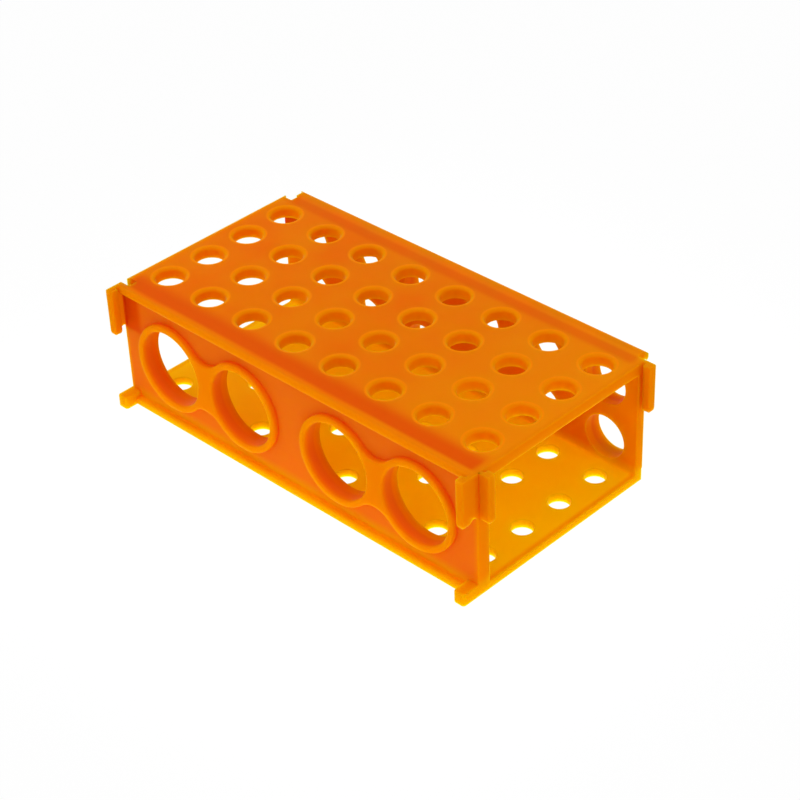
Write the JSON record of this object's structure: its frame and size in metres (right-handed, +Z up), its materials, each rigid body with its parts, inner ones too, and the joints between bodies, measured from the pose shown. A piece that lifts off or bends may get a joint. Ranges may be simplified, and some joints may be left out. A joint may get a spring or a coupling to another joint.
{
  "type": "microcentrifuge tube rack",
  "caption": "Open-ended moulded rack with a grid of round tube wells in its top face, larger wells in its side walls and hooks at its corners for linking to another rack.",
  "frame": {"origin": "centre of the underside, below the middle of the well grid", "axes": "+Z up out of the top face; +X along the rack towards the end with the hooks; -Y out of the wall with the largest wells"},
  "size_m": [0.1764, 0.0958, 0.05],
  "materials": {
    "rack_body": "translucent moulded polypropylene, satin"
  },
  "bodies": {
    "root": {"rack_body": "rack_body"}
  },
  "joints": []
}
